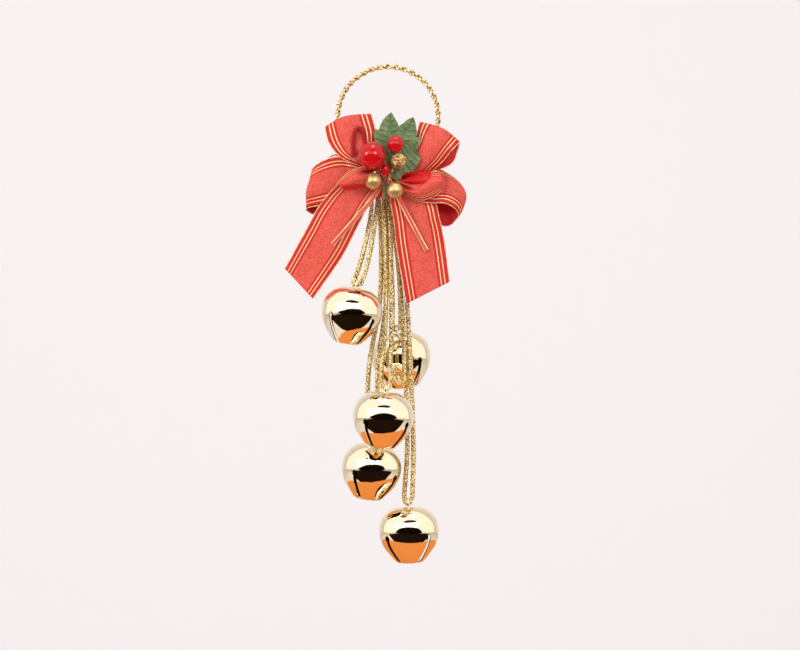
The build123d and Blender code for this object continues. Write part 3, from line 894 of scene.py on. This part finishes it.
front = (0, -1, 0)
tie_lines = {
    "tie_ribbon_tail_left": [(-2.0, -14.6, -55.5), (-4.6, -15.2, -60.5), (-9.4, -15.0, -67.4),
                             (-18.0, -14.4, -77.2), (-27.6, -13.8, -88.0)],
    "tie_ribbon_tail_right": [(0.6, -14.6, -55.5), (3.4, -15.2, -61.5), (8.0, -15.0, -70.0),
                              (13.6, -14.4, -80.5), (19.2, -13.8, -91.0)],
}
for node, line in tie_lines.items():
    tie_strip(node.replace("tie_", "narrow_"), line, [front] * len(line), node)

band_low, band_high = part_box("tie_ribbon_band")
band_x, band_y = (band_low[0] + band_high[0]) * 500, (band_low[1] + band_high[1]) * 500
band_wide, band_deep = (band_high[0] - band_low[0]) * 500, (band_high[1] - band_low[1]) * 500
band_z = (band_low[2] + band_high[2]) * 500
band_line, band_facing = [], []
for i in range(33):
    angle = 2 * pi * i / 32 - pi / 2
    size = (abs(cos(angle)) ** 5 + abs(sin(angle)) ** 5) ** -0.2
    place = Vector((cos(angle) * size * band_wide, sin(angle) * size * band_deep, 0))
    band_line.append((band_x + place.x, band_y + place.y, band_z))
    band_facing.append((cos(angle) / band_wide, sin(angle) / band_deep, 0))
tie_strip("narrow_ribbon_band", band_line, band_facing, "tie_ribbon_band")

knot_low, knot_high = (Vector(corner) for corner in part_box("tie_ribbon_knot"))
knot_middle = (knot_low + knot_high) / 2
bpy.ops.mesh.primitive_uv_sphere_add(segments=32, ring_count=16, radius=1, location=knot_middle)
knot = bpy.context.object
knot.name = "narrow_ribbon_knot"
knot.scale = (knot_high - knot_low) * 0.55
bpy.ops.object.transform_apply()
for vertex in knot.data.vertices:
    away = vertex.co - knot_middle
    crease = 1 - 0.22 * abs(sin(atan2(away.z, away.x) * 2 + 0.6)) ** 6
    vertex.co = knot_middle + away * crease
knot.data.materials.append(tie_finish)
knot.data.shade_smooth()
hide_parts("tie_ribbon_knot")
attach(knot, "hanger")

# --- leaves ---
# Three holly leaves of green cloth, cut with fine teeth and pressed with a midrib and side veins.
# They stand behind the berries and cup slightly forwards.
leaf_shapes = {
    "leaf_top": {
        "midrib": [(-0.2, -51.6), (0.3, -42.0), (1.0, -32.0), (1.7, -22.3)],
        "left": [(-0.8, -51.6), (-3.4, -46.5), (-5.2, -41.0), (-6.3, -36.6), (-6.9, -33.0), (-6.2, -30.8),
                 (-4.3, -31.0), (-3.7, -28.8), (-2.4, -26.2), (-0.7, -24.2), (1.7, -22.3)],
        "right": [(0.5, -51.6), (3.0, -46.0), (4.8, -39.5), (5.6, -34.0), (5.6, -30.2), (4.7, -27.4),
                  (3.3, -25.0), (1.7, -22.3)],
        "y": -14.7, "tilt": 0.6,
    },
    "leaf_right": {
        "midrib": [(0.8, -51.6), (4.5, -42.0), (8.6, -33.2), (12.7, -24.8)],
        "left": [(0.0, -51.6), (0.7, -44.0), (2.7, -36.6), (5.0, -31.3), (5.5, -29.4), (7.2, -28.1),
                 (7.7, -28.0), (9.2, -26.3), (11.0, -25.4), (12.7, -24.8)],
        "right": [(1.6, -51.6), (6.2, -45.6), (10.4, -40.4), (13.3, -36.0), (14.4, -33.6), (14.0, -30.0),
                  (13.5, -27.0), (12.7, -24.8)],
        "y": -15.4, "tilt": 1.0,
    },
    "leaf_lower_right": {
        "midrib": [(0.6, -51.6), (6.8, -46.0), (11.8, -41.0), (16.6, -34.4)],
        "left": [(0.0, -51.2), (2.4, -45.2), (6.0, -40.4), (9.4, -37.6), (12.6, -35.6), (16.6, -34.4)],
        "right": [(1.2, -52.6), (3.9, -56.3), (6.7, -54.3), (7.0, -52.4), (10.6, -51.5), (13.9, -49.8),
                  (14.7, -48.2), (15.6, -46.2), (16.3, -45.1), (15.2, -43.5), (14.2, -42.2), (14.5, -40.4),
                  (15.2, -38.6), (16.3, -37.0), (16.6, -34.4)],
        "y": -16.1, "tilt": 0.9,
    },
}
side_veins = 11
leaf_rows = 132
leaf_columns = 28

leaf_finish, paint, shader = new_finish("pressed_leaf_cloth", Sheen_Weight=0.15, Sheen_Roughness=0.5,
                                        Specular_IOR_Level=0.3)
across, along, _ = paint.node("UVMap").parts()
spot = paint.node("TexCoord", out="Object")
off_middle = (across - 0.5).math("ABSOLUTE") * 2.0
vein_wave = (along * side_veins - off_middle * 0.4).math("FRACT")
side_vein = 1.0 - (vein_wave - 0.5).math("ABSOLUTE").step(0.03, 0.16)
midrib = 1.0 - off_middle.step(0.02, 0.11)
veins = midrib.math("MAXIMUM", side_vein * 0.55)
blotch = spot.noise(210.0, 4.0)
fibre = spot.noise(1500.0, 2.0)
mottle = blotch * 0.75 + fibre * 0.25
green = mottle.node("ValToRGB", {"stops": [
    (0.30, (0.038, 0.095, 0.026)), (0.50, (0.110, 0.190, 0.058)), (0.70, (0.250, 0.290, 0.110))]},
    {0: mottle})
pale = blotch.tint((0.26, 0.29, 0.16), (0.44, 0.33, 0.27))
(veins * 0.55).tint(green, pale).feed(shader, "Base Color")
(0.44 + fibre * 0.25).feed(shader, "Roughness")
(fibre * 0.8 - veins * 1.2 + blotch * 0.5).relief(0.6, 0.0002).feed(shader, "Normal")


def along_edge(points, share):
    """The point at this share of a given edge's length, in millimetres."""
    reach = [0.0]
    for a, b in zip(points, points[1:]):
        reach.append(reach[-1] + hypot(b[0] - a[0], b[1] - a[1]))
    target = share * reach[-1]
    for k in range(len(points) - 1):
        if reach[k + 1] >= target or k == len(points) - 2:
            part = min((target - reach[k]) / (reach[k + 1] - reach[k]), 1.0)
            return Vector(points[k]).lerp(Vector(points[k + 1]), part)


for name, leaf in leaf_shapes.items():
    bpy.ops.mesh.primitive_grid_add(x_subdivisions=leaf_columns, y_subdivisions=leaf_rows, size=2,
                                    rotation=(radians(90), 0, 0), calc_uvs=False)
    blade = bpy.context.object
    blade.name = "cloth_" + name
    bpy.ops.object.transform_apply()
    wrap = blade.data.uv_layers.new(name="UVMap")
    places = {}
    for vertex in blade.data.vertices:
        u = vertex.co.x
        t = (vertex.co.z + 1) / 2
        tooth = 1 + 0.045 * (1 - (t * 24) % 1) * abs(u) ** 3 * (1 if t < 0.985 else 0)
        spine = along_edge(leaf["midrib"], t)
        rim = along_edge(leaf["left"] if u < 0 else leaf["right"], t)
        flat = spine.lerp(rim, abs(u) * tooth)
        cup = -1.6 * abs(u) ** 1.6 * sin(pi * min(t * 1.05, 1)) * leaf["tilt"]
        pressed = 0.16 * cos(2 * pi * (side_veins * t - 0.4 * abs(u))) * min(abs(u) * 4, 1)
        crease = 0.35 * max(0, 1 - abs(u) * 9)
        curl = -1.4 * t**2 * leaf["tilt"]
        wave = noise.noise(Vector((flat.x * 0.13, flat.y * 0.13, leaf["y"])))
        depth = leaf["y"] + 0.9 + cup * 0.6 + pressed + crease + curl * 0.4 + wave * 0.5
        places[vertex.index] = (u * 0.5 + 0.5, t)
        vertex.co = Vector((flat.x, depth, flat.y)) / 1000
    for loop in blade.data.loops:
        wrap.data[loop.index].uv = places[loop.vertex_index]
    bpy.ops.object.mode_set(mode="EDIT")
    bpy.ops.mesh.select_all(action="SELECT")
    bpy.ops.mesh.remove_doubles(threshold=1e-6)
    bpy.ops.object.mode_set(mode="OBJECT")
    cloth = blade.modifiers.new("cloth", "SOLIDIFY")
    cloth.thickness = 0.00022
    cloth.offset = 0
    bpy.ops.object.modifier_apply(modifier="cloth")
    bpy.ops.object.shade_smooth_by_angle(angle=radians(50))
    blade.data.materials.append(leaf_finish)
    blade.select_set(False)
    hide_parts(name)
    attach(blade, "hanger")

# --- red berries ---
# Foam balls dipped in glossy red lacquer on fine wires. The dip leaves faint waves, a dimple
# where the wire goes in and a small drip point on the bud.
lacquer, paint, shader = new_finish("red_lacquer", Coat_Roughness=0.04, Coat_IOR=1.36,
                                    Specular_IOR_Level=0.05)
spot = paint.node("TexCoord", out="Object")
cloud = spot.noise(170.0, 3.0)
speck = spot.noise(1900.0, 2.0)
cloud.tint((0.44, 0.002, 0.004), (0.64, 0.004, 0.006)).feed(shader, "Base Color")
(cloud * 0.14 + 0.17).feed(shader, "Roughness")
(1.0 - speck * 0.15).feed(shader, "Coat Weight")
(cloud * 1.2 + speck * 0.12).relief(0.16, 0.0006).feed(shader, "Normal")


def berry(name, finish, dimple, tip=0.0):
    """A ball in the CAD berry's place, dimpled at the back or drawn to a point below."""
    low, high = (Vector(corner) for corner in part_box(name))
    middle = (low + high) / 2
    half = (high - low) / 2
    bpy.ops.mesh.primitive_uv_sphere_add(segments=96, ring_count=48, radius=1)
    ball = bpy.context.object
    ball.name = name.replace("berry_", "ball_")
    for vertex in ball.data.vertices:
        unit = vertex.co.normalized()
        hollow = 1 - dimple * max(0.0, (unit.z - 0.9) * 10) ** 2
        waves = 1 + 0.006 * noise.noise(unit * 2.3 + middle * 900)
        place = unit * hollow * waves
        if tip and unit.z < 0:
            pinch = (-unit.z) ** 2.2 * tip
            place.x *= 1 - pinch
            place.y *= 1 - pinch
        vertex.co = Vector((place.x * half.x, place.y * half.y, place.z * half.z))
    lean = Matrix.Rotation(radians(-38 if dimple else 0), 4, "X")
    ball.data.transform(Matrix.Translation(middle) @ lean)
    ball.data.materials.append(finish)
    ball.data.shade_smooth()
    ball.select_set(False)
    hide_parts(name)
    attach(ball, "hanger")


for name in ("berry_red_large", "berry_red_small"):
    berry(name, lacquer, 0.12)
berry("berry_bud_red", lacquer, 0.0, tip=0.62)

# --- gold pearls ---
# Plastic pearls sprayed with soft gold paint.
pearl_paint, paint, shader = new_finish("soft_gold_paint", Metallic=0.7, Specular_IOR_Level=0.5)
spot = paint.node("TexCoord", out="Object")
cloud = spot.noise(240.0, 4.0)
grain = spot.noise(2600.0, 2.0)
(cloud * 0.7 + grain * 0.3).tint((0.48, 0.27, 0.085), (0.80, 0.54, 0.24)).feed(shader, "Base Color")
(0.33 + grain * 0.12).feed(shader, "Roughness")
(grain * 0.5 + cloud).relief(0.22, 0.0002).feed(shader, "Normal")
for name in ("berry_gold_left", "berry_gold_right"):
    berry(name, pearl_paint, 0.1)

# --- glitter ball ---
# A foam ball rolled in coarse gold glitter, and its stem beaded with the same grains.
glitter_finish, paint, shader = new_finish("coarse_gold_glitter", Metallic=0.9, Specular_IOR_Level=0.6)
spot = paint.node("TexCoord", out="Object")
flake = spot.noise(800.0, 2.0)
flake.node("ValToRGB", {"stops": [(0.3, (0.20, 0.09, 0.025)), (0.5, (0.66, 0.40, 0.14)),
                                  (0.72, (1.0, 0.80, 0.42))]}, {0: flake}).feed(shader, "Base Color")
(0.26 + flake * 0.22).feed(shader, "Roughness")
flake.relief(0.5, 0.0002).feed(shader, "Normal")

random.seed(7)
low, high = (Vector(corner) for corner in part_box("berry_glitter"))
glitter_middle = (low + high) / 2
glitter_radius = (high.x - low.x) / 2
core_radius = glitter_radius - 0.0006
grain_places = []
grain_count = 420
for i in range(grain_count):
    lift = 1 - 2 * (i + 0.5) / grain_count
    angle = i * pi * (3 - sqrt(5))
    ring = sqrt(1 - lift**2)
    way = Vector((ring * cos(angle), ring * sin(angle), lift))
    way = (way + Vector([random.uniform(-0.07, 0.07) for _ in range(3)])).normalized()
    size = random.uniform(0.00030, 0.00056)
    away = core_radius + random.uniform(-0.1, 0.35) * size
    grain_places.append((glitter_middle + way * away, size))
stem_line = smooth_line([(2.9, -20.2, -49.9), (1.9, -19.6, -52.4), (0.9, -18.8, -54.6),
                         (-0.2, -17.9, -57.4)])
for i, point in enumerate(evenly(stem_line, 0.00052)[0]):
    for _ in range(5):
        way = Vector([random.gauss(0, 1) for _ in range(3)]).normalized()
        width = 0.00075 - 0.00025 * i / 16 + 0.00018 * sin(i * 1.9)
        grain_places.append((point + way * width, random.uniform(0.00026, 0.00044)))
bpy.ops.mesh.primitive_ico_sphere_add(subdivisions=1, radius=1)
one_grain = bpy.context.object
grain_mesh = one_grain.data
shape = bmesh.new()
for place, size in grain_places:
    turned = Matrix.Rotation(random.uniform(0, pi), 4, Vector([random.gauss(0, 1) for _ in range(3)]))
    stretch = Matrix.Diagonal((random.uniform(0.75, 1.25), random.uniform(0.75, 1.25),
                               random.uniform(0.6, 1.0), 1))
    copy = grain_mesh.copy()
    copy.transform(Matrix.Translation(place) @ turned @ Matrix.Scale(size, 4) @ stretch)
    shape.from_mesh(copy)
    bpy.data.meshes.remove(copy)
bpy.data.objects.remove(one_grain)
glitter_grains = build("glitter_grains", shape, glitter_finish, smooth=False)
bpy.ops.mesh.primitive_uv_sphere_add(segments=48, ring_count=24, radius=core_radius,
                                     location=glitter_middle)
glitter_core = bpy.context.object
glitter_core.name = "glitter_core"
bpy.ops.object.transform_apply()
for vertex in glitter_core.data.vertices:
    vertex.co += (vertex.co - glitter_middle) * 0.03 * noise.noise(vertex.co * 2500)
glitter_core.data.materials.append(glitter_finish)
glitter_core.data.shade_smooth()
glitter_core.select_set(False)
for piece in (glitter_grains, glitter_core):
    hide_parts("berry_glitter")
    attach(piece, "hanger")

# --- stems and their tape ---
# Each berry's fine wire runs down behind the others. Green paper tape winds their ends together.
stem_finish, paint, shader = new_finish("papered_wire", Specular_IOR_Level=0.3)
spot = paint.node("TexCoord", out="Object")
fibre = spot.noise(1300.0, 3.0)
fibre.tint((0.16, 0.055, 0.035), (0.42, 0.17, 0.10)).feed(shader, "Base Color")
(0.5 + fibre * 0.3).feed(shader, "Roughness")
fibre.relief(0.5, 0.0001).feed(shader, "Normal")
for name in ("stem_red_large", "stem_red_small", "stem_bud", "stem_glitter", "stem_gold_left",
             "stem_gold_right"):
    paint_node(name, stem_finish)

tape_finish, paint, shader = new_finish("crepe_tape", Specular_IOR_Level=0.3)
spot = paint.node("TexCoord", out="Object")
crepe = spot.noise(1700.0, 3.0)
(crepe * 1.5 - 0.25).tint((0.03, 0.05, 0.02), (0.34, 0.30, 0.13)).feed(shader, "Base Color")
(0.6 + crepe * 0.25).feed(shader, "Roughness")
crepe.relief(0.7, 0.00015).feed(shader, "Normal")
low, high = (Vector(corner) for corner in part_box("stem_tape"))
tape_middle = (low + high) / 2
tape_radius = (high.x - low.x) / 2
# the visual tape ends 2.2 mm above the CAD one
low.z += 0.0022
bpy.ops.mesh.primitive_cylinder_add(vertices=48, radius=tape_radius, depth=high.z - low.z,
                                    location=(low + high) / 2)
tape = bpy.context.object
tape.name = "wound_tape"
bpy.ops.object.transform_apply()
shape = bmesh.new()
shape.from_mesh(tape.data)
upright = [edge for edge in shape.edges if abs(edge.verts[0].co.z - edge.verts[1].co.z) > 0.001]
bmesh.ops.subdivide_edges(shape, edges=upright, cuts=48, use_grid_fill=True)
for vertex in shape.verts:
    away = vertex.co - tape_middle
    angle = atan2(away.y, away.x)
    turn = ((away.z * 1000 / 2.1) - angle / (2 * pi)) % 1
    below = (tape_middle.z - vertex.co.z) / (high.z - low.z) * 2
    drawn = 1 - 0.16 * turn - 0.35 * max(0.0, below - 0.6) ** 2
    lump = 1 + 0.05 * noise.noise(vertex.co * 1300)
    vertex.co.x = tape_middle.x + away.x * drawn * lump
    vertex.co.y = tape_middle.y + away.y * drawn * lump
shape.to_mesh(tape.data)
shape.free()
tape.data.materials.append(tape_finish)
bpy.ops.object.shade_smooth_by_angle(angle=radians(60))
tape.select_set(False)
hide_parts("stem_tape")
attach(tape, "hanger")

# --- chenille and binding wire ---
# A dark red chenille stem is bent to a loop behind the large berry: short fibres caught in a
# twisted wire. A thin lacquered wire that binds the bow shows as a small loop at the left.
chenille_route = [(-16.8, -12.2, -44.0), (-17.9, -12.4, -34.8), (-14.4, -12.4, -28.4),
                  (-10.9, -12.4, -34.6), (-10.6, -12.2, -43.5)]
chenille_finish, paint, shader = new_finish("chenille_pile", Sheen_Weight=0.8, Sheen_Roughness=0.4,
                                            Specular_IOR_Level=0.25)
shader["Sheen Tint"].default_value = (0.8, 0.1, 0.1, 1)
tuft = paint.node("TexCoord", out="Object").noise(900.0, 2.0)
tuft.tint((0.28, 0.005, 0.010), (0.66, 0.022, 0.030)).feed(shader, "Base Color")
(0.6 + tuft * 0.3).feed(shader, "Roughness")
random.seed(11)
chenille_points, _ = evenly(smooth_line(chenille_route), 0.0001)
fibres_round = 9
fibre_half = 0.00012
shape = bmesh.new()
for i, point in enumerate(chenille_points[:-1]):
    ahead = (chenille_points[i + 1] - point).normalized()
    up = (Vector((0, 1, 0)) - ahead * ahead.y).normalized()
    side = ahead.cross(up)
    for k in range(fibres_round):
        angle = i * 0.55 + 2 * pi * k / fibres_round + random.uniform(-0.5, 0.5)
        way = up * cos(angle) + side * sin(angle) + ahead * random.uniform(-0.35, 0.35)
        reach = random.uniform(0.0009, 0.0015)
        base = point + way * 0.0002
        thick = ahead * fibre_half
        across_way = way.cross(ahead).normalized() * fibre_half
        tip = shape.verts.new(point + way * reach)
        ring = [shape.verts.new(base + thick), shape.verts.new(base - thick * 0.5 + across_way),
                shape.verts.new(base - thick * 0.5 - across_way)]
        for a, b in zip(ring, ring[1:] + ring[:1]):
            shape.faces.new((a, b, tip))
        shape.faces.new(ring[::-1])
bmesh.ops.recalc_face_normals(shape, faces=shape.faces)
pile = build("chenille_pile", shape, chenille_finish, smooth=False)
spine_points, _ = evenly(smooth_line(chenille_route), 0.0004)
spine = tubes("chenille_wire", [spine_points], 0.0008, 8, chenille_finish)
for piece in (pile, spine):
    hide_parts("chenille_loop")
    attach(piece, "hanger")

copper_finish, paint, shader = new_finish("lacquered_copper_wire", Metallic=0.9, Coat_Roughness=0.1)
streaks = paint.node("TexCoord", out="Object").noise(700.0)
streaks.tint((0.40, 0.07, 0.035), (0.66, 0.17, 0.09)).feed(shader, "Base Color")
(0.22 + streaks * 0.2).feed(shader, "Roughness")
paint_node("binding_wire", copper_finish)
